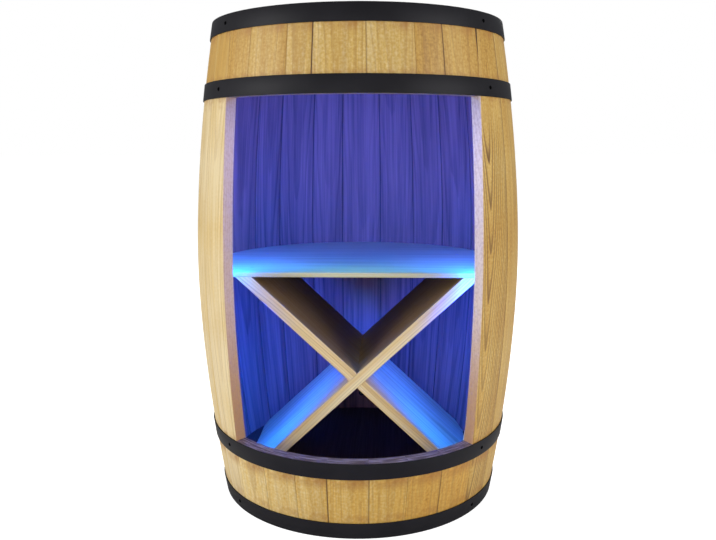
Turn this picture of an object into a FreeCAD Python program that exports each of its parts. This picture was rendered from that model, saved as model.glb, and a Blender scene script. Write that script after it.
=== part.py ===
import FreeCAD
import Part
import math
import os

# Barrel bar cabinet: a hooped wooden barrel with an opening cut in its front, a shelf,
# a crossed bottle divider below the shelf and a light strip around the opening.
# Millimetres, +Z up. The origin is on the floor, on the barrel's axis. The opening faces -Y.
# Angles are in degrees about the axis, from the front (-Y) towards +X.

# ---- Barrel shell ----
barrel_height = 800.0
belly_radius = 278.6  # outside of the staves at half height
end_radius = 239.8  # outside of the staves at both ends
bend_power = 1.79  # how the outside falls from the belly to the ends
stave_thickness = 20.0
stave_gap = 0.3  # open joint between two staves
full_stave_count = 17
stave_width_pattern = [1.0, 1.14, 0.9, 1.06, 0.88, 1.1, 0.96]  # relative widths, repeated
chime_bevel = 6.0  # inner edge of the stave ends
profile_spans = 8  # spline spans over the barrel's height

# ---- Opening ----
opening_bottom = 131.0  # above the floor
opening_drop = 125.0  # below the barrel's top end
opening_half_angle = 45.2  # at the belly, on the outside of the staves
opening_flare = 4.0  # wider by this angle at the barrel's ends
opening_lean = 1.0  # the side cuts are wider by this angle on the inside of the staves
upper_joints = [-36.4, -21.1, -12.1, 5.4, 21.5, 31.9]  # between the short staves
lower_joints = [-33.2, -20.2, -8.5, 6.1, 19.7, 33.1]

# ---- Hoops ----
hoop_width = 27.0
hoop_thickness = 2.0
hoop_clearance = 0.15
lap_length = 60.0  # riveted overlap at the back
rivet_spacing = 30.0
rivet_shank = 5.0
rivet_head = 9.0
rivet_head_height = 2.5
hoop_screw_count = 4  # in each hoop, spread over the full staves
screw_shank = 3.0
screw_head = 6.0
screw_head_height = 1.6
screw_length = 16.0
hole_clearance = 0.2  # on a diameter

# ---- Heads: the two round ends, of dowelled boards held in a groove ----
chime_depth = 27.0  # from the barrel's end to the head
head_thickness = 18.0
head_board_count = 4
tongue_thickness = 8.0
groove_depth = 5.0
groove_clearance = 0.4
board_gap = 0.3
dowel_diameter = 8.0
dowel_length = 40.0
dowel_spacing = 180.0
dowel_end_clearance = 0.5

# ---- Shelf and bottle divider ----
front_recess = 148.6  # from the belly back to the front edges of shelf and divider
shelf_height = 392.5  # underside above the floor
shelf_thickness = 8.0
shelf_edge_round = 1.2
wall_clearance = 0.6
divider_thickness = 18.0
divider_depth = 260.0
divider_edge_round = 1.5  # long edges at the front and back
divider_reach = 185.0  # sideways from the crossing to where a board meets shelf or head
divider_offset = 3.5  # crossing, right of the axis
halving_clearance = 0.3
shelf_screw_inset = 50.0  # from the divider's front and back edges
shelf_screw_shank = 3.5
shelf_screw_head = 7.0
shelf_screw_length = 24.0
shelf_screw_cover = 7.0  # from the divider's upper face

# ---- Lighting ----
strip_width = 10.0
strip_thickness = 1.2
strip_set_back = 12.0  # from the opening's edge to the strip
wall_contact = 0.1
light_size = 5.0
light_height = 1.4
light_pitch = 33.3
controller_length = 40.0
controller_width = 14.0
controller_depth = 8.0
controller_round = 1.5
controller_clearance = 0.3
grommet_height = 76.0
grommet_bore = 6.0
grommet_body = 12.0
grommet_flange = 18.0
grommet_flange_thickness = 2.0
grommet_sink = 2.5  # seat below the stave's outside

# ---- Worked out from the values above ----
AXIS = FreeCAD.Vector(0, 0, 1)
ORIGIN = FreeCAD.Vector(0, 0, 0)
opening_top = barrel_height - opening_drop
floor_height = chime_depth + head_thickness
shelf_top = shelf_height + shelf_thickness
front_set_back = belly_radius - front_recess  # ahead of the axis
crossing_height = (floor_height + shelf_height) / 2
divider_angle = math.degrees(math.atan2(shelf_height - crossing_height, divider_reach))
half_gap_angle = math.degrees(stave_gap / 2 / belly_radius)
clear_of_barrel = 2 * belly_radius


def outer_radius(height):
    """Outside radius of the staves at a height."""
    from_middle = abs(2 * height / barrel_height - 1)
    return belly_radius - (belly_radius - end_radius) * from_middle**bend_power


def inner_radius(height):
    return outer_radius(height) - stave_thickness


def opening_angle(height):
    """Half angle of the opening at a height."""
    from_middle = 2 * height / barrel_height - 1
    return opening_half_angle + opening_flare * from_middle**2


def around(radius, angle, height):
    """Point at a radius, an angle from the front and a height."""
    turn = math.radians(angle)
    return FreeCAD.Vector(radius * math.sin(turn), -radius * math.cos(turn), height)


def section(outline):
    """Face in the front half-plane from (radius, height) corners."""
    corners = [around(radius, 0, height) for radius, height in outline]
    return Part.Face(Part.makePolygon(corners + corners[:1]))


def barrel_line(low, high, distance):
    """Curved edge up the barrel's front at a distance outside its staves."""
    heights = [low + (high - low) * step / profile_spans for step in range(profile_spans + 1)]
    curve = Part.BSplineCurve()
    curve.interpolate([around(outer_radius(z) + distance, 0, z) for z in heights])
    return curve.toShape()


def band(low, high, outside, inside):
    """Face between two barrel lines at these distances outside the staves."""
    outer = barrel_line(low, high, outside)
    inner = barrel_line(low, high, inside)
    closing = [Part.makeLine(outer.valueAt(end), inner.valueAt(end)) for end in outer.ParameterRange]
    return Part.Face(Part.Wire([outer, closing[1], inner, closing[0]]))


def filled(low, high, distance):
    """Face from the axis out to a barrel line at a distance outside the staves."""
    outer = barrel_line(low, high, distance)
    foot = FreeCAD.Vector(0, 0, low)
    head = FreeCAD.Vector(0, 0, high)
    start, end = [outer.valueAt(value) for value in outer.ParameterRange]
    lines = [Part.makeLine(end, head), Part.makeLine(head, foot), Part.makeLine(foot, start)]
    return Part.Face(Part.Wire([outer] + lines))


def between(face, low, high):
    """The part of a front face between two heights."""
    reach = clear_of_barrel
    return face.common(section([(0, low), (reach, low), (reach, high), (0, high)])).Faces[0]


def spin(face, start, stop):
    """Solid swept by a face of the front half-plane between two angles."""
    turned = face.copy()
    turned.rotate(ORIGIN, AXIS, start)
    return turned.revolve(ORIGIN, AXIS, stop - start)


def slab(x_range, y_range, z_range):
    """Box between two limits on each axis."""
    corner = FreeCAD.Vector(x_range[0], y_range[0], z_range[0])
    sides = [limits[1] - limits[0] for limits in (x_range, y_range, z_range)]
    return Part.makeBox(sides[0], sides[1], sides[2], corner)


def surface_frame(radius, angle, height):
    """Placement on a surface that runs up with the barrel: local Z out, local Y up it."""
    step = 1.0
    slope = (outer_radius(height + step) - outer_radius(height - step)) / (2 * step)
    up = (around(slope, angle, 0) + AXIS).normalize()
    out = around(1, angle, -slope).normalize()
    side = up.cross(out)
    turn = FreeCAD.Rotation(side, up, out, "ZYX")
    return FreeCAD.Placement(around(radius, angle, height), turn)


def placed(shape, placement):
    moved = shape.copy()
    moved.Placement = placement.multiply(shape.Placement)
    return moved


def domed_pin(shank, length, head, head_height):
    """Round pin down local -Z with a domed head on local +Z."""
    dome_radius = (head**2 / 4 + head_height**2) / (2 * head_height)
    dome = Part.makeSphere(dome_radius, FreeCAD.Vector(0, 0, head_height - dome_radius))
    cap = dome.common(Part.makeCylinder(dome_radius, head_height))
    pin = Part.makeCylinder(shank / 2, length, FreeCAD.Vector(0, 0, -length))
    return pin.fuse(cap).removeSplitter()


# ---- Staves ----


def groove_sections():
    """Cuts in the stave's section: a groove for each head and a bevel at each end."""
    low = chime_depth + (head_thickness - tongue_thickness - groove_clearance) / 2
    high = low + tongue_thickness + groove_clearance
    depth = inner_radius(chime_depth + head_thickness / 2) + groove_depth
    wall = inner_radius(0)
    clear = wall - stave_thickness
    groove = [(clear, low), (depth, low), (depth, high), (clear, high)]
    bevel = [(clear, 0), (wall + chime_bevel, 0), (wall, chime_bevel), (clear, chime_bevel)]
    cuts = []
    for outline in (groove, bevel):
        cuts.append(section(outline))
        cuts.append(section([(radius, barrel_height - height) for radius, height in outline]))
    return cuts


def stave_section():
    face = band(0, barrel_height, 0, -stave_thickness)
    for cut in groove_sections():
        face = face.cut(cut)
    return face.Faces[0]


def front_wedge(extra_angle):
    """Sector between the opening's side cuts, which lean and flare."""
    wires = []
    for step in range(profile_spans + 1):
        height = barrel_height * step / profile_spans
        angle = opening_angle(height) + extra_angle
        outside = around(outer_radius(height), angle, height)
        inside = around(inner_radius(height), angle + opening_lean, height)
        cut = outside - inside
        apex = inside - cut * (inside.x / cut.x)
        right = apex + cut * (clear_of_barrel / cut.x)
        left = FreeCAD.Vector(-right.x, right.y, height)
        wires.append(Part.makePolygon([apex, right, left, apex]))
    return Part.makeLoft(wires, True, False)


def full_stave_limits():
    """Angles of the joints from the opening's right side round the back to its left side."""
    count = len(stave_width_pattern)
    widths = [stave_width_pattern[i % count] for i in range(full_stave_count)]
    scale = (360 - 2 * opening_half_angle) / sum(widths)
    limits = [opening_half_angle]
    for width in widths:
        limits.append(limits[-1] + width * scale)
    return limits


def full_staves():
    face = stave_section()
    wedge = front_wedge(half_gap_angle)
    limits = full_stave_limits()
    staves = []
    for index in range(full_stave_count):
        start = limits[index] + half_gap_angle
        stop = limits[index + 1] - half_gap_angle
        if index == 0:
            staves.append(spin(face, start - half_gap_angle, stop).cut(wedge))
        elif index == full_stave_count - 1:
            staves.append(spin(face, start, stop + half_gap_angle).cut(wedge))
        else:
            staves.append(spin(face, start, stop))
    return staves


def short_staves(low, high, joints):
    """Staves cut off by the opening, between two heights."""
    face = between(stave_section(), low, high)
    wedge = front_wedge(-half_gap_angle)
    side = opening_half_angle + 2 * (opening_flare + opening_lean)
    limits = [-side] + joints + [side]
    staves = []
    for start, stop in zip(limits, limits[1:]):
        stave = spin(face, start + half_gap_angle, stop - half_gap_angle)
        if abs(start) == side or abs(stop) == side:
            stave = stave.common(wedge)
        staves.append(stave)
    return staves


# ---- Hoops and their fastenings ----

hoop_levels = {
    "top_hoop": barrel_height - hoop_width,
    "upper_hoop": opening_top,
    "lower_hoop": opening_bottom - hoop_width,
    "bottom_hoop": 0.0,
}


def hoop_layer(low, layer, start, stop):
    """One thickness of a hoop, counted outwards from 0."""
    high = low + hoop_width
    inside = hoop_clearance + layer * hoop_thickness
    outside = inside + hoop_thickness
    outline = [(outer_radius(low) + inside, low), (outer_radius(low) + outside, low)]
    outline += [(outer_radius(high) + outside, high), (outer_radius(high) + inside, high)]
    return spin(section(outline), start, stop)


def hoop(low):
    lap = math.degrees(lap_length / belly_radius) / 2
    ring = hoop_layer(low, 0, 180, 540)
    return ring.fuse(hoop_layer(low, 1, 180 - lap, 180 + lap))


def hoop_surface(low, angle, layers):
    """Placement on the outside of a hoop, half way up its width."""
    middle = low + hoop_width / 2
    chord = (outer_radius(low) + outer_radius(low + hoop_width)) / 2
    return surface_frame(chord + hoop_clearance + layers * hoop_thickness, angle, middle)


def rivet_places():
    places = []
    for low in hoop_levels.values():
        for side in (-1, 1):
            angle = 180 + side * math.degrees(rivet_spacing / 2 / belly_radius)
            places.append(hoop_surface(low, angle, 2))
    return places


def screw_places():
    limits = full_stave_limits()
    places = []
    for low in hoop_levels.values():
        for number in range(hoop_screw_count):
            index = round(number * (full_stave_count - 1) / (hoop_screw_count - 1))
            angle = (limits[index] + limits[index + 1]) / 2
            places.append(hoop_surface(low, angle, 1))
    return places


def drill(diameter, depth, placement):
    """Cylinder down local -Z that reaches a little above the surface."""
    above = hoop_thickness
    start = FreeCAD.Vector(0, 0, -depth)
    return placed(Part.makeCylinder(diameter / 2, depth + above, start), placement)


# ---- Heads ----


def head_disc():
    """Lower head as one disc, with the tongue that sits in the groove."""
    low_tongue = chime_depth + (head_thickness - tongue_thickness) / 2
    high_tongue = low_tongue + tongue_thickness
    rim = inner_radius(chime_depth + head_thickness / 2) + groove_depth - wall_clearance
    lower = inner_radius(chime_depth) - wall_clearance
    upper = inner_radius(high_tongue) - wall_clearance
    outline = [(0, chime_depth), (lower, chime_depth), (lower, low_tongue), (rim, low_tongue)]
    outline += [(rim, high_tongue), (upper, high_tongue), (upper, floor_height), (0, floor_height)]
    return spin(section(outline), 0, 360)


def head_joint_places():
    """X of the joints between the head's boards."""
    width = 2 * inner_radius(chime_depth) / head_board_count
    middle = head_board_count / 2
    return [(index - middle) * width for index in range(1, head_board_count)]


def dowels(extra_diameter, extra_length):
    length = dowel_length + extra_length
    height = chime_depth + head_thickness / 2
    pins = []
    for x in head_joint_places():
        for y in (-dowel_spacing / 2, dowel_spacing / 2):
            start = FreeCAD.Vector(x - length / 2, y, height)
            radius = (dowel_diameter + extra_diameter) / 2
            pins.append(Part.makeCylinder(radius, length, start, FreeCAD.Vector(1, 0, 0)))
    return pins


def head_boards():
    disc = head_disc()
    for hole in dowels(hole_clearance, 2 * dowel_end_clearance):
        disc = disc.cut(hole)
    edges = [-clear_of_barrel] + head_joint_places() + [clear_of_barrel]
    across = (-clear_of_barrel, clear_of_barrel)
    boards = []
    for left, right in zip(edges, edges[1:]):
        strip = slab((left + board_gap / 2, right - board_gap / 2), across, (0, barrel_height))
        boards.append(disc.common(strip))
    return boards


def turned_over(shape):
    """The same piece at the other end of the barrel."""
    moved = shape.copy()
    moved.rotate(FreeCAD.Vector(0, 0, barrel_height / 2), FreeCAD.Vector(0, 1, 0), 180)
    return moved


# ---- Shelf and divider ----


def shelf():
    radius = min(inner_radius(shelf_height), inner_radius(shelf_top)) - wall_clearance
    board = Part.makeCylinder(radius, shelf_thickness, FreeCAD.Vector(0, 0, shelf_height))
    across = (-clear_of_barrel, clear_of_barrel)
    board = board.cut(slab(across, (-clear_of_barrel, -front_set_back), (0, barrel_height)))
    front = [
        edge
        for edge in board.Edges
        if all(abs(v.Y + front_set_back) < 0.01 for v in edge.Vertexes)
        and abs(edge.Vertexes[0].Z - edge.Vertexes[-1].Z) < 0.01
    ]
    return board.makeFillet(shelf_edge_round, front)


def level_board(thickness, front, back):
    """Long level board centred on the X axis, between two depths."""
    half = thickness / 2
    return slab((-clear_of_barrel, clear_of_barrel), (front, back), (-half, half))


def tilted(board, direction):
    """A level board put through the crossing; direction 1 rises to the right, -1 to the left."""
    board.rotate(ORIGIN, FreeCAD.Vector(0, 1, 0), -direction * divider_angle)
    board.translate(FreeCAD.Vector(divider_offset, 0, crossing_height))
    return board


def divider_space():
    """Inside of the barrel between the lower head and the shelf."""
    return spin(filled(floor_height, shelf_height, -stave_thickness - wall_clearance), 0, 360)


def divider_board(direction, slot_front, slot_back):
    """Board with a halving slot for the other board between two depths."""
    board = level_board(divider_thickness, -front_set_back, -front_set_back + divider_depth)
    long_edges = [edge for edge in board.Edges if edge.Length > clear_of_barrel]
    board = tilted(board.makeFillet(divider_edge_round, long_edges), direction)
    slot = level_board(divider_thickness + halving_clearance, slot_front, slot_back)
    return board.cut(tilted(slot, -direction)).common(divider_space())


def divider_boards():
    front = -front_set_back
    back = front + divider_depth
    middle = (front + back) / 2
    clear = divider_thickness
    rising = divider_board(1, middle - halving_clearance / 2, back + clear)
    falling = divider_board(-1, front - clear, middle + halving_clearance / 2)
    return rising, falling


def shelf_screw_places():
    """Tops of the four screws from the shelf into the divider's upper ends."""
    tilt = math.radians(divider_angle)
    reach = (shelf_height - crossing_height) / math.tan(tilt)
    reach += shelf_screw_cover - divider_thickness / 2 / math.sin(tilt)
    front = -front_set_back + shelf_screw_inset
    back = -front_set_back + divider_depth - shelf_screw_inset
    sides = [divider_offset - reach, divider_offset + reach]
    return [FreeCAD.Vector(x, y, shelf_top) for x in sides for y in (front, back)]


def shelf_screw(top, extra):
    """Countersunk screw; extra widens and lengthens it to make its hole."""
    sink = (shelf_screw_head - shelf_screw_shank) / 2
    head = Part.makeCone((shelf_screw_shank + extra) / 2, (shelf_screw_head + extra) / 2, sink)
    head.translate(FreeCAD.Vector(0, 0, -sink))
    length = shelf_screw_length + extra
    shank = Part.makeCylinder((shelf_screw_shank + extra) / 2, length - sink)
    shank.translate(FreeCAD.Vector(0, 0, -length))
    screw = head.fuse(shank).removeSplitter()
    screw.translate(top)
    return screw


# ---- Lighting ----


def strip_angle():
    """Middle of the side strips, behind the opening's widest edge."""
    widest = max(opening_angle(opening_bottom), opening_angle(opening_top)) + opening_lean
    return widest + math.degrees((strip_set_back + strip_width / 2) / inner_radius(opening_top))


strip_low = opening_bottom + strip_set_back
strip_high = opening_top + strip_set_back + strip_width
strip_back = -stave_thickness - wall_contact  # both measured from the outside of the staves
strip_front = strip_back - strip_thickness


def led_strip():
    """One strip up the left side of the opening, across above it and down the right side."""
    side = strip_angle()
    half = math.degrees(strip_width / 2 / belly_radius)
    face = band(strip_low, strip_high, strip_back, strip_front)
    top = between(face, strip_high - strip_width, strip_high)
    across = spin(top, -side - half, side + half)
    legs = [spin(face, angle - half, angle + half) for angle in (-side, side)]
    return across.fuse(legs).removeSplitter()


def light_places():
    """Placements of the lights on the strip's inner face."""
    side = strip_angle()
    across_height = strip_high - strip_width / 2
    places = []
    leg_count = int((across_height - strip_low - light_pitch / 2) / light_pitch)
    for angle in (-side, side):
        for index in range(leg_count):
            places.append((angle, strip_low + light_pitch * (index + 0.5)))
    arc = math.radians(2 * side) * inner_radius(across_height)
    across_count = int(arc / light_pitch)
    for index in range(across_count):
        angle = -side + 2 * side * (index + 0.5) / across_count
        places.append((angle, across_height))
    return places


def lights():
    half = light_size / 2
    chip = slab((-half, half), (-half, half), (-light_height - wall_contact, -wall_contact))
    chips = []
    for angle, height in light_places():
        frame = surface_frame(outer_radius(height) + strip_front, angle, height)
        chips.append(placed(chip, frame))
    return chips


def led_controller():
    """Small box on the wall where the right side strip ends."""
    half = controller_width / 2
    depth = (-controller_depth - controller_clearance, -controller_clearance)
    box = slab((-half, half), (-controller_length / 2, controller_length / 2), depth)
    box = box.makeFillet(controller_round, box.Edges)
    height = strip_low - controller_length / 2 - controller_clearance
    return placed(box, surface_frame(inner_radius(height), strip_angle(), height))


def grommet_angle():
    limits = full_stave_limits()
    rear = full_stave_count // 2
    return (limits[rear] + limits[rear + 1]) / 2


def grommet_frame():
    """Placement on the seat of the grommet's flange, local Z pointing out of the barrel."""
    seat = outer_radius(grommet_height) - grommet_sink
    turn = FreeCAD.Rotation(AXIS, around(1, grommet_angle(), 0))
    return FreeCAD.Placement(around(seat, grommet_angle(), grommet_height), turn)


def flanged_sleeve(body, length, flange, flange_length):
    """Solid sleeve down local -Z with its flange on local +Z."""
    sleeve = Part.makeCylinder(body / 2, length, FreeCAD.Vector(0, 0, -length))
    return sleeve.fuse(Part.makeCylinder(flange / 2, flange_length)).removeSplitter()


def cable_grommet():
    length = stave_thickness - grommet_sink
    grommet = flanged_sleeve(grommet_body, length, grommet_flange, grommet_flange_thickness)
    bore = Part.makeCylinder(grommet_bore / 2, 2 * stave_thickness, FreeCAD.Vector(0, 0, -length))
    return placed(grommet.cut(bore), grommet_frame())


def grommet_hole():
    body = grommet_body + hole_clearance
    flange = grommet_flange + hole_clearance
    hole = flanged_sleeve(body, 2 * stave_thickness, flange, stave_thickness)
    return placed(hole, grommet_frame())


# ---- The whole cabinet ----


def drilled(shape, holes):
    """The shape less those holes that reach it."""
    for hole in holes:
        if shape.BoundBox.intersect(hole.BoundBox):
            shape = shape.cut(hole)
    return shape


def numbered(name, shapes):
    return {f"{name}_{index}": shape for index, shape in enumerate(shapes, 1)}


def cabinet():
    """Every piece by its node name; like fastenings and lights share one node."""
    screw_holes = [drill(screw_shank + hole_clearance, screw_length + hole_clearance, place)
                   for place in screw_places()]
    rivet_holes = [drill(rivet_shank + hole_clearance, 2 * hoop_thickness, place)
                   for place in rivet_places()]
    screw = domed_pin(screw_shank, screw_length, screw_head, screw_head_height)
    rivet = domed_pin(rivet_shank, 2 * hoop_thickness, rivet_head, rivet_head_height)
    stave_holes = screw_holes + [grommet_hole()]

    pieces = {}
    pieces.update(numbered("stave", [drilled(stave, stave_holes) for stave in full_staves()]))
    upper = short_staves(opening_top, barrel_height, upper_joints)
    lower = short_staves(0, opening_bottom, lower_joints)
    pieces.update(numbered("upper_short_stave", upper))
    pieces.update(numbered("lower_short_stave", lower))

    for name, low in hoop_levels.items():
        pieces[name] = drilled(hoop(low), screw_holes + rivet_holes)
    pieces["hoop_screws"] = Part.makeCompound([placed(screw, place) for place in screw_places()])
    pieces["hoop_rivets"] = Part.makeCompound([placed(rivet, place) for place in rivet_places()])

    boards = head_boards()
    pins = dowels(0, 0)
    pieces.update(numbered("bottom_head_board", boards))
    pieces.update(numbered("top_head_board", [turned_over(board) for board in boards]))
    pieces["head_dowels"] = Part.makeCompound(pins + [turned_over(pin) for pin in pins])

    screw_tops = shelf_screw_places()
    shelf_holes = [shelf_screw(top, hole_clearance) for top in screw_tops]
    rising, falling = divider_boards()
    pieces["shelf"] = drilled(shelf(), shelf_holes)
    pieces["divider_rising_board"] = drilled(rising, shelf_holes)
    pieces["divider_falling_board"] = drilled(falling, shelf_holes)
    pieces["shelf_screws"] = Part.makeCompound([shelf_screw(top, 0) for top in screw_tops])

    pieces["led_strip"] = led_strip()
    pieces["led_lights"] = Part.makeCompound(lights())
    pieces["led_controller"] = led_controller()
    pieces["cable_grommet"] = cable_grommet()
    return pieces


os.makedirs("parts", exist_ok=True)
for node, shape in cabinet().items():
    shape.exportStep(f"parts/{node}.step")
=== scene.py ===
# %% [markdown]
# # A barrel bar cabinet
#
# The real cabinet is a cooper's barrel with a tall opening cut in its front. Its staves are held
# by four black steel hoops. A shelf and a crossed bottle divider sit inside, lit by a blue light
# strip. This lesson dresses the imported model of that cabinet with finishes, studio light and a
# camera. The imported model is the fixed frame: nothing here changes its sizes.

import math
import random

import bmesh
import bpy
from mathutils import Matrix, Vector


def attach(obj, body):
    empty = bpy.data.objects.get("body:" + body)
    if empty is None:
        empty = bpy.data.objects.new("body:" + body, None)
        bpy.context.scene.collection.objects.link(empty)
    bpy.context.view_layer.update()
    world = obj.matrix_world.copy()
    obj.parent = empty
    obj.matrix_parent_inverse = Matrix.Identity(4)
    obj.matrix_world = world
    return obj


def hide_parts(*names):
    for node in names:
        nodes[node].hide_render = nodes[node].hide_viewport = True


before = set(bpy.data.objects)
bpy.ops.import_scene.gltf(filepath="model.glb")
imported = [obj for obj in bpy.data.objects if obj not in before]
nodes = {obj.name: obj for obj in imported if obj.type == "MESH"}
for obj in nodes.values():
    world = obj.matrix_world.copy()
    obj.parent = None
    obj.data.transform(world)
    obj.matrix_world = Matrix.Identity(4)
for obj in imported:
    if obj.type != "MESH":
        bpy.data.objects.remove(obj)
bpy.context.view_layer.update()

# %% [markdown]
# ## The camera
#
# A photographer stands in front of the cabinet, a little to its right, and holds the camera at
# about the height of the bottles, tipped down. The lens is found from the width of the barrel in
# the picture and its distance. Making the camera first means that every later step can be looked
# at from the right place.

# %% Camera
image_width = 716  # pixels
focal_pixels = 752.5
camera_distance = 1.326  # from the barrel's axis
camera_height = 0.605
camera_turn = math.radians(2.53)  # round the barrel, towards its right side
camera_dip = math.radians(9.49)
camera_roll = -0.0029

camera_data = bpy.data.cameras.new("camera")
camera_data.sensor_fit = "HORIZONTAL"
camera_data.lens = camera_data.sensor_width * focal_pixels / image_width
camera = bpy.data.objects.new("camera", camera_data)
bpy.context.scene.collection.objects.link(camera)
stand = Matrix.Translation((0, 0, camera_height))
turn = Matrix.Rotation(camera_turn, 4, "Z")
back_off = Matrix.Translation((0, -camera_distance, 0))
tip = Matrix.Rotation(math.pi / 2 - camera_dip, 4, "X")
roll = Matrix.Rotation(camera_roll, 4, "Z")
camera.matrix_world = stand @ turn @ back_off @ tip @ roll
bpy.context.scene.camera = camera
print("lens", round(camera_data.lens, 2), "mm")

# %% [markdown]
# ## Writing shaders as sums
#
# A material is a tree of nodes, and most of them only do arithmetic. This small class wraps a
# node's output, so that `1 - mask` or `height * 2` adds the Math node that does it. Every other
# node comes from its one method `node`, which takes the node's type, its settings and what goes
# into its sockets. The finishes below then read like recipes.

# %% Shader wires
class Wire:
    """A node's output that Python's operators work on."""

    def __init__(self, socket):
        self.socket = socket

    def node(self, kind, settings=None, inputs=None, output=0):
        """Adds a node to this wire's tree and returns one of its outputs."""
        tree = self.socket.id_data
        made = tree.nodes.new(kind)
        for name, value in (settings or {}).items():
            if name == "stops":
                set_stops(made.color_ramp, value)
            else:
                setattr(made, name, value)
        for name, value in (inputs or {}).items():
            if isinstance(value, Wire):
                tree.links.new(value.socket, made.inputs[name])
            else:
                made.inputs[name].default_value = value
        return Wire(made.outputs[output])

    def maths(self, operation, *values):
        """Adds a Math node that works on wires or numbers."""
        inputs = dict(enumerate(values))
        return self.node("ShaderNodeMath", {"operation": operation}, inputs)

    def __add__(self, other):
        return self.maths("ADD", self, other)

    __radd__ = __add__

    def __sub__(self, other):
        return self.maths("SUBTRACT", self, other)

    def __rsub__(self, other):
        return self.maths("SUBTRACT", other, self)

    def __mul__(self, other):
        return self.maths("MULTIPLY", self, other)

    __rmul__ = __mul__

    def __truediv__(self, other):
        return self.maths("DIVIDE", self, other)

    def __pow__(self, other):
        return self.maths("POWER", self, other)

    def __abs__(self):
        return self.maths("ABSOLUTE", self)

    def rise(self, low, high):
        """0 below low, 1 above high, and smooth between them; low may be the larger."""
        if low > high:
            return 1 - self.rise(high, low)
        inputs = {"Value": self, "From Min": low, "From Max": high}
        return self.node("ShaderNodeMapRange", {"interpolation_type": "SMOOTHSTEP"}, inputs)

    def mix(self, first, second):
        """Colour that goes from first to second as this wire goes from 0 to 1."""
        inputs = {0: self, 6: first, 7: second}
        return self.node("ShaderNodeMix", {"data_type": "RGBA"}, inputs, output=2)


def set_stops(ramp, stops):
    """Gives a colour ramp its (place, colour) stops."""
    ramp.elements[0].position = stops[0][0]
    ramp.elements[1].position = stops[-1][0]
    for place, _ in stops[1:-1]:
        ramp.elements.new(place)
    for element, (_, colour) in zip(ramp.elements, stops):
        element.color = colour


def tint(red, green, blue):
    """Linear colour of a screen colour that is given from 0 to 255."""
    channels = [value / 255 for value in (red, green, blue)]
    linear = [c / 12.92 if c <= 0.04045 else ((c + 0.055) / 1.055) ** 2.4 for c in channels]
    return (*linear, 1.0)


def new_material(name):
    """A material, its main shader node and a wire with object coordinates."""
    material = bpy.data.materials.new(name)
    material.use_nodes = True
    tree = material.node_tree
    shader = tree.nodes["Principled BSDF"]
    coordinates = tree.nodes.new("ShaderNodeTexCoord")
    return material, shader, Wire(coordinates.outputs["Object"])


def plug(shader, **sockets):
    """Sets or links the main shader's sockets; Base_Color stands for Base Color."""
    for name, value in sockets.items():
        socket = shader.inputs[name.replace("_", " ")]
        if isinstance(value, Wire):
            shader.id_data.links.new(value.socket, socket)
        else:
            socket.default_value = value


def noise(place, scale, detail=2.0):
    """Soft noise from 0 to 1 with a mean of about one half."""
    inputs = {"Vector": place, "Scale": scale, "Detail": detail}
    return place.node("ShaderNodeTexNoise", None, inputs)


def bumpy(relief, strength, distance):
    """Normal that lets a relief from 0 to 1 show as height."""
    inputs = {"Strength": strength, "Distance": distance, "Height": relief}
    return relief.node("ShaderNodeBump", None, inputs)


def plank_noise(directions, fine, coarse, shifts=(0, 0), detail=3.0):
    """Noise that is fine across and into a plank and coarse along it; shifts move it."""
    across, depth, along = directions
    inputs = {0: across * fine + shifts[0], 1: depth * fine, 2: along * coarse + shifts[1]}
    return noise(across.node("ShaderNodeCombineXYZ", None, inputs), 1.0, detail)


# %% [markdown]
# ## How wood looks
#
# A plank is cut from a trunk, so what shows on it is a slice through growth rings. Near the
# middle of a flat-sawn plank the saw grazes the rings, and they show as long pointed arches.
# Towards its edges they show as close straight lines. This recipe works out how far a point is
# from the trunk's heart and repeats a ring every few millimetres. The heart wanders and tapers
# along the trunk, which makes the arches. Fine fibres are noise that is stretched along the
# plank. A plank's directions are three wires, which run across it, into it and along it.

# %% Grain of a plank
wander = 0.05  # how far the heart goes from side to side, in all
waviness = 0.006  # how far a ring goes in and out, in all
seed_step = 0.731  # how far a seed of one moves the noise


def grain(directions, seed, ring=0.0034, heart=0.045, drift=0.0, taper=0.012, early=0.45):
    """Late wood of the rings, fibres and broad streaks, each from 0 to 1."""
    across, depth, along = directions
    shift = seed * seed_step
    slow = plank_noise(directions, 5, 1.6, (shift, shift), 2.0)
    wavy = plank_noise(directions, 24, 3.2, (shift, -shift))
    side = across - drift + (slow - 0.5) * wander
    into = depth + heart
    radius = (side * side + into * into) ** 0.5
    count = (radius - along * taper + (wavy - 0.5) * waviness) / ring
    part = count.maths("FRACT", count)
    strength = count.node(
        "ShaderNodeTexWhiteNoise", {"noise_dimensions": "1D"}, {"W": count.maths("FLOOR", count)}
    )
    late = part.rise(early, 0.85) * part.rise(1.0, 0.93) * (0.45 + 0.55 * strength)

    fibre = plank_noise(directions, 420, 7, (shift, shift))
    streak = plank_noise(directions, 85, 2.2, (-shift, 0))
    return late, fibre.rise(0.3, 0.7), streak.rise(0.25, 0.75)


# %% [markdown]
# ## The barrel's shape
#
# The staves bulge to a belly half way up. These are the model's own sizes, and the finishes need
# them too: they let a material know how deep a point is in a stave, where its joints are and how
# near a hoop is.

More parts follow.
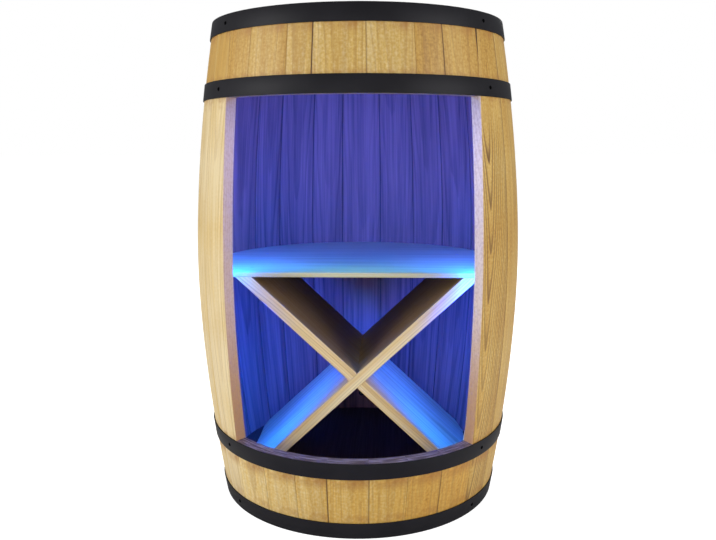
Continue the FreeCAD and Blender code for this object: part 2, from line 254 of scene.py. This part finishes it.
# %% Shape of the barrel
barrel_height = 0.8
belly_radius = 0.2786
end_radius = 0.2398
bend_power = 1.79
stave_thickness = 0.02
joint_gap = 0.0003
opening_low = 0.131
opening_high = 0.675
opening_half_angle = 45.2  # degrees, at the belly
opening_flare = 4.0  # the opening is wider by this angle at the barrel's ends
opening_lean = 1.0  # the side cuts are wider by this angle on the inside of the staves
hoop_width = 0.027
hoop_lows = {"top_hoop": 0.773, "upper_hoop": 0.675, "lower_hoop": 0.104, "bottom_hoop": 0.0}
end_hoop_middle = 0.3865  # from the barrel's middle, as the next two are
inner_hoop_middle = 0.2855  # the mean of the upper and the lower hoop's
head_outside = (0.372, 0.368)  # the dark inside, darker wood with painted shade, ends between these
dark_inside_depth = (0.016, 0.019)  # how deep in a stave the dark inside begins
stave_count = 17
stave_widths = [1.0, 1.14, 0.9, 1.06, 0.88, 1.1, 0.96]  # repeated round the barrel


def outer_radius(height):
    """Outside of the staves; a number or a wire."""
    from_middle = abs(height * (2 / barrel_height) - 1)
    return belly_radius - (belly_radius - end_radius) * from_middle**bend_power


def opening_angle(height, depth):
    """Half angle of the opening in degrees at a depth in the wood; numbers or wires."""
    from_middle = height * (2 / barrel_height) - 1
    flare = opening_flare * (from_middle * from_middle)
    return opening_half_angle + flare + depth * (opening_lean / stave_thickness)


widths = [stave_widths[index % len(stave_widths)] for index in range(stave_count)]
degrees_per_width = (360 - 2 * opening_half_angle) / sum(widths)
full_joints = [opening_half_angle]
for width in widths:
    full_joints.append(full_joints[-1] + width * degrees_per_width)
print("joints between the full staves", [round(angle, 1) for angle in full_joints])

# %% [markdown]
# ## The finish of a stave
#
# Outside, a stave is softwood that was brushed, stained honey and oiled. Its grain is fine and
# flecked. It is a little darker beside the hoops, partly darker wood in patches and partly painted
# shade at the hoops' edges, and dirt sits in its joints. Between the heads the inside is darker
# brown wood with painted shade of the deep cavity on it, and beyond them it is stained like the
# outside. Where the opening was cut, the saw left clean, pale wood; the right cut face is painted
# lighter and the left one darker, as painted light from the left. One recipe makes all of these
# from where a point is: how deep, how far from the joints and how high. Each stave then gets its
# own tone, seed and joint strengths, because no two planks are alike.

# %% Stave finish
honey_stops = [
    (0.0, tint(236, 216, 170)),
    (0.2, tint(227, 200, 140)),
    (0.45, tint(212, 176, 98)),
    (0.75, tint(196, 151, 68)),
    (1.0, tint(164, 118, 46)),
]
low_honey_stops = [  # the lower short staves took more stain
    (0.0, tint(238, 214, 156)),
    (0.2, tint(230, 198, 124)),
    (0.45, tint(220, 176, 84)),
    (0.75, tint(206, 152, 58)),
    (1.0, tint(172, 118, 38)),
]
# Sawn wood of the opening's two sides: the right face is painted lighter and the left one darker,
# as painted light from the left.
cut_wood_lit_and_shaded = {"left": tint(206, 174, 154), "right": tint(230, 208, 186)}
above_opening = (0.68, 0.705)  # heights between which a top tone comes in
arches_fade = (0.67, 0.58)  # heights between which the long arches fade out
raw_fade = 0.002  # how far past the opening's ends the raw wood fades out
# Distances at which a shade begins and at which it is full:
hoop_shade = (0.034, 0.0145)  # from a hoop's middle; the darkening there is partly painted shade
joint_dirt = (0.0035, 0.0005)  # from a joint, on the outside
joint_line = (0.0013, 0.0005)
inner_joint_line = (0.0016, 0.0004)
sawn_skin = (0.0016, 0.0005)  # from a sawn side face
end_skin = (0.0012, 0.0004)  # from a sawn end


def stave_finish(name, limits, tone, seed, seams, cut_side=None, cut_height=None, figure=None,
                 flecks=0.9, top_tone=0.0, stops=honey_stops):
    """Material of one stave between two joint angles; seams are the joints' darkness."""
    material, shader, place = new_material(name)
    middle = math.radians(sum(limits) / 2)
    rotation = {"Vector": place, "Rotation": (0, 0, -middle)}
    turned = place.node("ShaderNodeMapping", None, rotation)
    parts = turned.node("ShaderNodeSeparateXYZ", None, {"Vector": turned})
    x, y, z = (Wire(socket) for socket in parts.socket.node.outputs)
    radius = (x * x + y * y) ** 0.5
    depth = outer_radius(z) - radius
    angle = x.maths("ARCTAN2", x, 0 - y)

    figure_inputs = figure or {"heart": 0.035 + 0.03 * (seed % 1.3)}
    late, fibre, streak = grain((x, depth, z), seed, **figure_inputs)
    worn = noise(turned, 9.0, 3.0)
    fleck = plank_noise((x, depth, z), 240, 220, detail=2.0)
    shade = (streak - 0.5) * 0.2 + (worn - 0.5) * 0.5 + (fleck - 0.5) * flecks + tone
    shade = shade + z.rise(*above_opening) * top_tone
    colour = shade.node("ShaderNodeValToRGB", {"stops": stops}, {"Fac": shade})
    if figure:
        colour = (late * z.rise(*arches_fade)).mix(colour, tint(106, 68, 26))
    else:
        colour = (late * 0.3).mix(colour, tint(150, 102, 44))
    colour = ((1 - fibre) * 0.25).mix(colour, tint(146, 106, 48))

    from_middle = abs(z - barrel_height / 2)
    # Beside each hoop the wood is darker honey in patches: partly its own tone, partly painted
    # shade at the hoop's edge.
    end_hoop = abs(from_middle - end_hoop_middle)
    inner_hoop = abs(from_middle - inner_hoop_middle)
    near_hoop = end_hoop.maths("MINIMUM", end_hoop, inner_hoop).rise(*hoop_shade)
    patches = noise(turned, 38.0, 3.0).rise(0.4, 0.7)
    colour = (near_hoop * patches * 0.7).mix(colour, tint(164, 108, 46))

    half = math.radians(limits[1] - limits[0]) / 2
    to_left = (angle + half) * radius
    to_right = (half - angle) * radius
    for distance, seam in ((to_left, seams[0]), (to_right, seams[1])):
        colour = (distance.rise(*joint_dirt) * 0.35 * seam).mix(colour, tint(140, 88, 36))
        colour = (distance.rise(*joint_line) * seam).mix(colour, tint(60, 34, 18))

    # Between the heads the inside is darker brown wood, darkened further as painted shade of the
    # deep cavity.
    inside = depth.rise(*dark_inside_depth) * from_middle.rise(*head_outside)
    inside_grain = streak * 0.35 + (1 - fibre) * 0.35 + late * 0.3
    shaded_inside = inside_grain.mix(tint(154, 108, 102), tint(76, 50, 48))
    joint = to_left.maths("MINIMUM", to_left, to_right).rise(*inner_joint_line)
    colour = inside.mix(colour, (joint * 0.8).mix(shaded_inside, tint(30, 20, 16)))
    if cut_side:
        # The sawn face's colour carries painted light: lighter on the right side, darker on the
        # left.
        raw_wood = (late * 0.3).mix(cut_wood_lit_and_shaded[cut_side], tint(176, 134, 98))
        raw_wood = (z.rise(0.4, 0.17) * 0.8).mix(raw_wood, tint(186, 134, 76))
        raw_wood = (fleck.rise(0.4, 0.7) * 0.3).mix(raw_wood, tint(168, 120, 104))
        degrees = z.maths("DEGREES", angle) + math.degrees(middle)
        edge = opening_angle(z, depth)
        edge = 360 - edge if cut_side == "left" else edge
        away = abs(degrees - edge) * (math.pi / 180) * radius
        above_low = z.rise(opening_low - raw_fade, opening_low)
        sawn = above_low * z.rise(opening_high + raw_fade, opening_high)
        colour = (away.rise(*sawn_skin) * sawn).mix(colour, raw_wood)
    if cut_height is not None:
        saw_place = x.node("ShaderNodeCombineXYZ", None, {0: x * 30 + seed, 1: depth * 420})
        saw_marks = noise(saw_place, 1.0).rise(0.4, 0.75)
        end_wood = saw_marks.mix(tint(96, 78, 78), tint(190, 172, 176))
        colour = abs(z - cut_height).rise(*end_skin).mix(colour, end_wood)

    relief = fibre * 0.6 + late * 0.5 + streak * 0.5
    plug(shader, Base_Color=colour, Roughness=0.46 + fibre * 0.14 + inside * 0.2,
         Normal=bumpy(relief, 0.35, 0.0006))
    return material


# %% [markdown]
# ## A stave is a plank that was bent
#
# A cooper starts with a straight plank, cuts a groove for the heads near its ends, eases its long
# edges and bends it over steam. The mesh is made in the same order. A section with its grooves is
# drawn and pulled out to the plank's width, its long edges are bevelled, planes cut it into short
# lengths, and then every point is moved onto the barrel. Bending last keeps each step simple.

# %% Planks and bending
end_profile = [  # (Y, distance from the end) of the inner face near a plank's end
    (-0.014, 0.0),
    (-0.020, 0.006),
    (-0.020, 0.0318),
    (-0.015, 0.0318),
    (-0.015, 0.0402),
    (-0.020, 0.0402),
]


def straight_plank(width, low, high):
    """Straight stave: X across from 0, Y out of the barrel, Z up."""
    corners = [(0.0, low), (0.0, high)]
    if high == barrel_height:
        corners += [(y, high - away) for y, away in end_profile]
    else:
        corners.append((-stave_thickness, high))
    if low == 0:
        corners += [(y, away) for y, away in reversed(end_profile)]
    else:
        corners.append((-stave_thickness, low))
    plank = bmesh.new()
    section = plank.faces.new([plank.verts.new((0, y, z)) for y, z in corners])
    pulled = bmesh.ops.extrude_face_region(plank, geom=[section])["geom"]
    moved = [item for item in pulled if isinstance(item, bmesh.types.BMVert)]
    bmesh.ops.translate(plank, verts=moved, vec=(width, 0, 0))
    bmesh.ops.recalc_face_normals(plank, faces=plank.faces[:])
    return plank


def ease_long_edges(plank, offset):
    """Rounds the plank's long outer edges and then its long inner ones."""
    for surface in (0.0, -stave_thickness):
        edges = []
        for edge in plank.edges:
            start, end = (vert.co for vert in edge.verts)
            if abs(start.y - surface) + abs(end.y - surface) < 1e-6:
                if abs(start.x - end.x) < 1e-6 and abs(start.z - end.z) > 0.02:
                    edges.append(edge)
        bmesh.ops.bevel(plank, geom=edges, offset=offset, offset_type="OFFSET", segments=3,
                        profile=0.5, affect="EDGES", material=-1)


full_stave_ease = 0.0006
short_stave_ease = 0.0003
bend_length = 0.03  # about how long a straight length of a bent plank is
strips = 6  # across a plank


def cut_into_lengths(plank, width, low, high):
    """Planes through the plank give it points to bend at."""
    lengths = max(3, round((high - low) / bend_length))
    cuts = [((width * step / strips, 0, 0), (1, 0, 0)) for step in range(1, strips)]
    for step in range(1, lengths):
        cuts.append(((0, 0, low + (high - low) * step / lengths), (0, 0, 1)))
    for point, direction in cuts:
        everything = plank.verts[:] + plank.edges[:] + plank.faces[:]
        bmesh.ops.bisect_plane(plank, geom=everything, plane_co=point, plane_no=direction)


def bend(plank, width, left, right):
    """Moves the plank onto the barrel between two joints, as degrees for a height and depth."""
    for vert in plank.verts:
        share, depth, height = vert.co.x / width, -vert.co.y, vert.co.z
        start, stop = left(height, depth), right(height, depth)
        degrees = start + share * (stop - start)
        radius = outer_radius(height) - depth
        vert.co.x = radius * math.sin(math.radians(degrees))
        vert.co.y = -radius * math.cos(math.radians(degrees))
    bmesh.ops.recalc_face_normals(plank, faces=plank.faces[:])


def finished_piece(name, body_mesh, material, stands_for):
    """Makes the piece's object, with its finish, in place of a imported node."""
    mesh = bpy.data.meshes.new(name)
    body_mesh.to_mesh(mesh)
    body_mesh.free()
    mesh.shade_smooth()
    mesh.set_sharp_from_angle(angle=math.radians(35))
    mesh.materials.append(material)
    piece = bpy.data.objects.new(name, mesh)
    bpy.context.scene.collection.objects.link(piece)
    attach(piece, "root")
    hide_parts(stands_for)


def dress(node, material):
    """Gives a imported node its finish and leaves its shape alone."""
    nodes[node].data.materials.clear()
    nodes[node].data.materials.append(material)


# %% [markdown]
# ## The staves in place
#
# The model has full staves round the sides and back and short ones above and below the opening.
# Their joints are lists of angles, counted from the front. A joint isn't perfectly straight, so
# its angle sways by a fraction of a millimetre on the way up, and both of its staves sway alike.
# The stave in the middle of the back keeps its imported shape, because that has the hole for the
# cable's grommet already, and the two joints beside it don't sway.

# %% Joints
upper_joints = [-36.4, -21.1, -12.1, 5.4, 21.5, 31.9]
lower_joints = [-33.2, -20.2, -8.5, 6.1, 19.7, 33.1]
gap_angle = math.degrees(joint_gap / 2 / belly_radius)
dice = random.Random(7)


def swaying(angle, sway=1.0):
    """A joint as a function of height, with two small waves; it is the same at every depth."""
    first, second = dice.uniform(0, 6), dice.uniform(0, 6)
    return lambda z, depth: angle + sway * (
        0.05 * math.sin(9 * z + first) + 0.03 * math.sin(31 * z + second)
    )


def opening_edge(turns, side):
    """The opening's edge as a joint, on its right (1) or left (-1) side, after full turns."""
    return lambda z, depth: 360 * turns + side * opening_angle(z, depth)


def beside(joint, direction):
    """The face of one stave at a joint, half the gap to one side."""
    return lambda z, depth: joint(z, depth) + direction * gap_angle


# %% Full staves
arches = {"ring": 0.0052, "heart": 0.006, "drift": -0.016, "taper": 0.075, "early": 0.42}
figures = {0: arches}  # the stave to the right of the opening
full_tones = [0.58, 0.58, 0.7, 0.35, 0.64, 0.28, 0.52, 0.4, 0.68, 0.46, 0.26, 0.6, 0.44, 0.62, 0.3,
              0.12, 0.08]
top_tones = {0: 0.18, 15: 0.55, 16: 0.55}  # staves that get darker above the opening
faint_flecks = {15: 0.25, 16: 0.25}  # staves with fainter flecks than the others
outlet_stave = stave_count // 2
faces = [opening_edge(0, 1)]
for index in range(1, stave_count):
    sway = 0.0 if index in (outlet_stave, outlet_stave + 1) else 1.0
    faces.append(swaying(full_joints[index], sway))
faces.append(opening_edge(1, -1))
seam_darkness = [0.2] + [dice.uniform(0.25, 0.75) for _ in full_joints[1:-2]] + [0.05, 0.2]
for index in range(stave_count):
    start, stop = full_joints[index], full_joints[index + 1]
    cut_side = {0: "right", stave_count - 1: "left"}.get(index)
    node = f"stave_{index + 1}"
    seed = 3.7 * index + 1
    finish = stave_finish(f"{node}_wood", (start, stop), full_tones[index], seed,
                          seam_darkness[index:index + 2], cut_side, figure=figures.get(index),
                          flecks=faint_flecks.get(index, 0.9), top_tone=top_tones.get(index, 0.0))
    if index == outlet_stave:
        dress(node, finish)
        continue
    width = math.radians(stop - start) * belly_radius
    plank = straight_plank(width, 0.0, barrel_height)
    ease_long_edges(plank, full_stave_ease)
    cut_into_lengths(plank, width, 0.0, barrel_height)
    bend(plank, width, beside(faces[index], 1), beside(faces[index + 1], -1))
    finished_piece(f"dressed_{node}", plank, finish, node)
print("full staves", stave_count)

# %% Short staves
upper_tones = [0.68, 0.57, 0.5, 0.43, 0.44, 0.78, 0.68]
lower_tones = [0.12, 0.2, 0.3, 0.41, 0.44, 0.62, 0.62]
upper_seams = [0.05, 0.05, 0.1, 0.8, 0.2, 0.0, 0.6, 1.0]
lower_seams = [0.05, 0.12, 0.15, 0.65, 0.35, 0.1, 0.45, 0.3]
upper = ("upper", upper_joints, opening_high, barrel_height, opening_high, upper_tones,
         upper_seams, honey_stops)
lower = ("lower", lower_joints, 0.0, opening_low, opening_low, lower_tones,
         lower_seams, low_honey_stops)
for side, joints, low, high, cut, tones, seams, stops in (upper, lower):
    edge_angle = opening_angle((low + high) / 2, 0)
    limits = [-edge_angle] + joints + [edge_angle]
    faces = [opening_edge(0, -1)] + [swaying(angle) for angle in joints] + [opening_edge(0, 1)]
    for index in range(len(tones)):
        start, stop = limits[index], limits[index + 1]
        width = math.radians(stop - start) * belly_radius
        plank = straight_plank(width, low, high)
        ease_long_edges(plank, short_stave_ease)
        cut_into_lengths(plank, width, low, high)
        bend(plank, width, beside(faces[index], 1), beside(faces[index + 1], -1))
        node = f"{side}_short_stave_{index + 1}"
        seed = 5.3 * index + len(side) + low
        finish = stave_finish(f"{node}_wood", (start, stop), tones[index], seed,
                              seams[index:index + 2], cut_height=cut, stops=stops)
        finished_piece(f"dressed_{node}", plank, finish, node)
print("short staves", 2 * len(upper_tones))

# %% [markdown]
# ## Shelf, divider and heads
#
# These are flat boards. The heads are stained like the staves, and the inner half of each gets
# painted shade; the shelf and the divider are only oiled. The divider's faces behind its front
# edge get painted shade, high up under the shelf and low down towards the floor, and the shelf's
# wood is tinted greener as painted cyan light of the strip. The imported shapes are right, with
# their rounded front edges and halving joint, so they only get a finish. Mapping nodes turn the
# grain so that it runs along each board, also along the two that cross at an angle.

# %% Board finish
divider_rise = 0.17375  # from the crossing to a board's end, up and sideways
divider_run = 0.185
divider_tilt = math.degrees(math.atan2(divider_rise, divider_run))
divider_edge = (-0.1295, -0.126)  # the front edge stays light; the painted shade comes in behind it
between_heads = (0.036, 0.764)  # the heads' mid-planes; the inner half of each gets painted shade
board_stops = [(0.0, tint(226, 204, 168)), (0.5, tint(206, 176, 132)), (1.0, tint(176, 138, 92))]
divider_stops = [(0.0, tint(252, 232, 184)), (0.5, tint(241, 209, 146)), (1.0, tint(198, 154, 94))]
# The shelf's wood is greener than the other boards: painted cyan light of the strip.
shelf_stops_painted_cyan = [(0.0, tint(212, 208, 166)), (0.5, tint(196, 188, 142)), (1.0, tint(172, 160, 114))]


def board_finish(name, order, seed, tone, tilt=0.0, shade_between=None, stops=board_stops,
                 rings=0.5, shaded_faces=False):
    """Order names the axes across, into and along the board; tilt turns them about Y."""
    material, shader, place = new_material(name)
    height = place.node("ShaderNodeSeparateXYZ", None, {"Vector": place}, output=2)
    rotation = {"Vector": place, "Rotation": (0, math.radians(tilt), 0)}
    turned = place.node("ShaderNodeMapping", None, rotation)
    parts = turned.node("ShaderNodeSeparateXYZ", None, {"Vector": turned})
    axes = dict(zip("XYZ", (Wire(socket) for socket in parts.socket.node.outputs)))
    directions = [axes[letter] for letter in order]
    late, fibre, streak = grain(directions, seed, ring=0.004, heart=0.05)
    shade = (streak - 0.5) * 0.6 + tone
    colour = shade.node("ShaderNodeValToRGB", {"stops": stops}, {"Fac": shade})
    colour = (late * rings).mix(colour, tint(150, 108, 66))
    colour = ((1 - fibre) * rings * 0.5).mix(colour, tint(140, 104, 66))
    if shaded_faces:
        # Painted shade on the divider's faces: darker above 0.2-0.26 m under the shelf and below
        # 0.19-0.08 m near the floor.
        face_shade = height.rise(0.2, 0.26) * 0.85 + height.rise(0.19, 0.08) * 0.5
        behind_edge = axes["Y"].rise(*divider_edge)
        colour = (behind_edge * face_shade).mix(colour, tint(98, 68, 44))
    # The inner half of each head is painted dark: painted shade inside the barrel.
    if shade_between:
        low, high = shade_between
        shaded_inside = height.rise(low - 0.001, low) * height.rise(high + 0.001, high)
        colour = shaded_inside.mix(colour, tint(52, 36, 26))
    bump = bumpy(fibre * 0.6 + late * 0.4, 0.3, 0.0004)
    plug(shader, Base_Color=colour, Roughness=0.5 + fibre * 0.15, Normal=bump)
    return material


dress("shelf", board_finish("shelf_wood", "YZX", 2.0, 0.35, stops=shelf_stops_painted_cyan, rings=0.15))
dress("divider_rising_board", board_finish("rising_wood", "YZX", 6.0, 0.3, divider_tilt,
                                           stops=divider_stops, rings=0.35, shaded_faces=True))
dress("divider_falling_board", board_finish("falling_wood", "YZX", 9.0, 0.4, -divider_tilt,
                                            stops=divider_stops, rings=0.35, shaded_faces=True))
for index in range(1, 5):
    for end in ("top", "bottom"):
        name = f"{end}_head_board_{index}"
        dress(name, board_finish(f"{name}_wood", "XZY", index + len(end), 0.45,
                                 shade_between=between_heads, stops=honey_stops))
dress("head_dowels", board_finish("dowel_wood", "YZX", 1.0, 0.1))

# %% [markdown]
# ## Steel hoops
#
# Each hoop is a steel strip, bent to a ring, overlapped at the back and riveted. It is sprayed
# satin black. A strip's section is drawn, its corners are rounded, and it is spun round the
# barrel; the overlap is a second strip that is spun only part of the way, with closed ends.

# %% Hoops
hoop_thickness = 0.002
hoop_clearance = 0.00015
lap_length = 0.06
lap_angle = math.degrees(lap_length / belly_radius)
ring_steps = 160
lap_steps = 8
hoop_ease = 0.0006


def painted_steel(name, colour, rough, shine=0.15):
    """Satin paint with the faint unevenness of a sprayed coat."""
    material, shader, place = new_material(name)
    cloud = noise(place, 14.0, 3.0)
    speck = noise(place, 900.0, 2.0)
    lighter = tuple(value * 1.35 for value in colour[:3]) + (1.0,)
    tone = cloud.rise(0.3, 0.7).mix(colour, lighter)
    plug(shader, Base_Color=tone, Roughness=rough + cloud * 0.12, Specular_IOR_Level=shine,
         Normal=bumpy(speck * 0.6 + cloud, 0.12, 0.0004))
    return material


def strip_ring(mesh, low, layer, start, stop):
    """Adds one strip, spun between two angles, to the mesh."""
    high = low + hoop_width
    away = hoop_clearance + layer * hoop_thickness
    low_radius, high_radius = outer_radius(low) + away, outer_radius(high) + away
    corners = [(low_radius, low), (low_radius + hoop_thickness, low),
               (high_radius + hoop_thickness, high), (high_radius, high)]
    section = mesh.faces.new([mesh.verts.new((0, -radius, z)) for radius, z in corners])
    bmesh.ops.rotate(mesh, verts=section.verts[:], cent=(0, 0, 0),
                     matrix=Matrix.Rotation(math.radians(start), 3, "Z"))
    full = stop - start > 359
    geometry = section.edges[:] + section.verts[:] + ([] if full else [section])
    bmesh.ops.spin(mesh, geom=geometry, cent=(0, 0, 0), axis=(0, 0, 1),
                   angle=math.radians(stop - start), steps=ring_steps if full else lap_steps,
                   use_merge=full)
    if full:
        bmesh.ops.delete(mesh, geom=[section], context="FACES_ONLY")


def round_arcs(mesh, offset):
    """Rounds the edges that run round the barrel."""
    arcs = []
    for edge in mesh.edges:
        start, end = (vert.co for vert in edge.verts)
        if abs(start.z - end.z) < 1e-6 and abs(start.xy.length - end.xy.length) < 1e-5:
            arcs.append(edge)
    bmesh.ops.bevel(mesh, geom=arcs, offset=offset, offset_type="OFFSET", segments=2, profile=0.5,
                    affect="EDGES", material=-1)


hoop_paint = painted_steel("hoop_paint", tint(26, 25, 29), 0.45)
for name, low in hoop_lows.items():
    ring = bmesh.new()
    strip_ring(ring, low, 0, 0, 360)
    strip_ring(ring, low, 1, 180 - lap_angle / 2, 180 + lap_angle / 2)
    bmesh.ops.recalc_face_normals(ring, faces=ring.faces[:])
    round_arcs(ring, hoop_ease)
    print(name, "open edges", sum(not edge.is_manifold for edge in ring.edges))
    finished_piece(f"dressed_{name}", ring, hoop_paint, name)

dress("hoop_screws", painted_steel("screw_black", tint(3, 3, 4), 0.7, 0.02))
dress("hoop_rivets", painted_steel("rivet_black", tint(34, 34, 38), 0.4))
dress("shelf_screws", painted_steel("screw_steel", tint(150, 150, 150), 0.3, 0.5))

# %% [markdown]
# ## The light strip
#
# The strip is white plastic with small light caps, hidden behind the opening's edges. The caps
# glow. A renderer finds small glowing caps slowly, so thin blue area lamps in front of the strip
# carry the light into the barrel. They are short, so that each stretch has its own power, and
# they shine to the back and a little outwards, away from the sawn edge on the other side. The
# lowest one of each run is greener, as such strips look where they shine on pale wood close by.

# %% Light strip
def plain_plastic(name, colour, rough):
    """Plastic with a faint mottle."""
    material, shader, place = new_material(name)
    mottle = noise(place, 60.0, 2.0)
    darker = tuple(value * 0.88 for value in colour[:3]) + (1.0,)
    plug(shader, Base_Color=mottle.mix(colour, darker), Roughness=rough + mottle * 0.1)
    return material


dress("led_strip", plain_plastic("strip_white", tint(228, 230, 232), 0.5))
dress("led_controller", plain_plastic("controller_case", tint(225, 225, 222), 0.45))
dress("cable_grommet", plain_plastic("grommet_rubber", tint(28, 28, 29), 0.6))
glow, shader, place = new_material("led_glow")
pattern = noise(place, 300.0, 1.0)
glow_colour = pattern.mix((0.03, 0.3, 1.0, 1.0), (0.05, 0.4, 1.0, 1.0))
plug(shader, Base_Color=(0.6, 0.75, 1.0, 1.0), Roughness=0.25, Emission_Color=glow_colour,
     Emission_Strength=3.0)
dress("led_lights", glow)

strip_angle = 51.9  # degrees from the front to the strip's upright runs
strip_high = 0.697  # height of its run along the top
strip_lamp_width = 0.008
top_lamp_width = 0.04
off_wall = 0.006  # from the wall to a lamp's middle
outward = 12  # degrees that the side lamps turn towards the side they are on
top_lamps = 4
blue = (0.012, 0.05, 1.0)
cyan = (0.004, 0.16, 1.0)


def area_lamp(name, width, length, watts, colour):
    """Rectangular lamp that the camera doesn't see."""
    data = bpy.data.lights.new(name, "AREA")
    data.shape = "RECTANGLE"
    data.size, data.size_y = width, length
    data.energy = watts
    data.color = colour
    lamp = bpy.data.objects.new(name, data)
    bpy.context.scene.collection.objects.link(lamp)
    lamp.visible_camera = False
    return lamp


def strip_lamp(name, angle, height, width, length, watts, colour, facing, dip=0.0):
    """Area lamp on the wall that shines to the back, turned to a facing angle and dipped."""
    lamp = area_lamp(name, width, length, watts, colour)
    radius = outer_radius(height) - stave_thickness - off_wall
    spot = Vector((math.sin(math.radians(angle)), -math.cos(math.radians(angle)), 0)) * radius
    look = Matrix.Rotation(math.radians(facing), 4, "Z")
    look = look @ Matrix.Rotation(math.radians(90 - dip), 4, "X")
    lamp.matrix_world = Matrix.Translation(spot + Vector((0, 0, height))) @ look


side_runs = [  # side, low, high, watts of the lamps; the lowest lamp of a run is cyan
    (-1, 0.145, 0.30, (1.7, 1.7, 1.7)),
    (-1, 0.42, strip_high, (1.3, 2.0, 0.3)),
    (1, 0.145, 0.36, (1.7, 1.7, 1.7)),
    (1, 0.403, strip_high, (1.3, 2.0, 0.3)),
]
for side, low, high, powers in side_runs:
    length = (high - low) / len(powers)
    for step, watts in enumerate(powers):
        height = low + length * (step + 0.5)
        strip_lamp(f"side_light_{side}_{height:.2f}", side * strip_angle, height,
                   strip_lamp_width, length, watts, blue if step else cyan, side * -outward)
for step in range(top_lamps):
    angle = strip_angle * 0.4 * (2 * (step + 0.5) / top_lamps - 1)
    strip_lamp(f"top_light_{step}", angle, strip_high - 0.005, top_lamp_width, strip_lamp_width,
               0.2, cyan, facing=0, dip=75)

# %% [markdown]
# ## Studio
#
# The cabinet stands on a plain pale floor in front of white. Two large soft lamps light its sides,
# the left one a little stronger. A weak one stands in front, one behind is for looks at the back,
# and the world adds the rest. Two small lamps inside stand for light that has been reflected many
# times: a warm one shines up the back wall and a greenish blue one lies over the shelf's front.
# The camera sees the floor and the world as white, and the floor still shows a soft shadow.

# %% Studio
def studio_lamp(name, place, aim, size, watts, colour=(1.0, 1.0, 1.0), other_size=None):
    """Area lamp that is aimed at a point; square unless it gets another size."""
    lamp = area_lamp(name, size, other_size or size, watts, colour)
    lamp.location = place
    lamp.rotation_euler = (Vector(aim) - Vector(place)).to_track_quat("-Z", "Y").to_euler()


studio_lamp("left_softbox", (-2.5, -1.3, 1.1), (0, 0, 0.45), 1.4, 47)
studio_lamp("right_softbox", (2.5, -1.4, 1.0), (0, 0, 0.45), 1.4, 42)
studio_lamp("front_softbox", (-0.4, -3.4, 0.9), (0, 0, 0.45), 1.4, 14)
studio_lamp("back_softbox", (0.3, 2.4, 2.2), (0, 0, 0.4), 1.8, 60)
studio_lamp("room_light_inside", (0, -0.12, 0.5), (0, 0, 0.75), 0.2, 0.14, (1.0, 0.75, 0.6))
studio_lamp("shelf_glow", (0, -0.105, 0.47), (0, -0.1, 0.4), 0.3, 0.12, (0.03, 0.5, 1.0), 0.03)

world = bpy.data.worlds.new("studio")
bpy.context.scene.world = world
world.use_nodes = True
tree = world.node_tree
tree.nodes.clear()
light_path = tree.nodes.new("ShaderNodeLightPath")
ray, glossy = Wire(light_path.outputs["Is Camera Ray"]), Wire(light_path.outputs["Is Glossy Ray"])
seen = ray.node("ShaderNodeBackground", None, {"Color": (1, 1, 1, 1), "Strength": 1.0})
lights = ray.node("ShaderNodeBackground", None, {"Color": (0.94, 0.97, 1.0, 1), "Strength": 0.22})
shown = ray.node("ShaderNodeMixShader", None, {0: ray.maths("MAXIMUM", ray, glossy * 0.1),
                                               1: lights, 2: seen})
world_output = tree.nodes.new("ShaderNodeOutputWorld")
tree.links.new(shown.socket, world_output.inputs["Surface"])

floor_mesh = bmesh.new()
bmesh.ops.create_grid(floor_mesh, x_segments=1, y_segments=1, size=40)
mesh = bpy.data.meshes.new("floor")
floor_mesh.to_mesh(mesh)
floor_mesh.free()
floor = bpy.data.objects.new("floor", mesh)
bpy.context.scene.collection.objects.link(floor)
floor_paint, shader, place = new_material("floor_paint")
ray = place.node("ShaderNodeLightPath")
plug(shader, Base_Color=ray.mix((0.8, 0.8, 0.8, 1), (0.5, 0.5, 0.5, 1)), Roughness=0.8,
     Emission_Color=ray.mix((0, 0, 0, 1), (1, 1, 1, 1)), Emission_Strength=0.9)
mesh.materials.append(floor_paint)

# %% Finish
bpy.context.scene.view_settings.view_transform = "Standard"
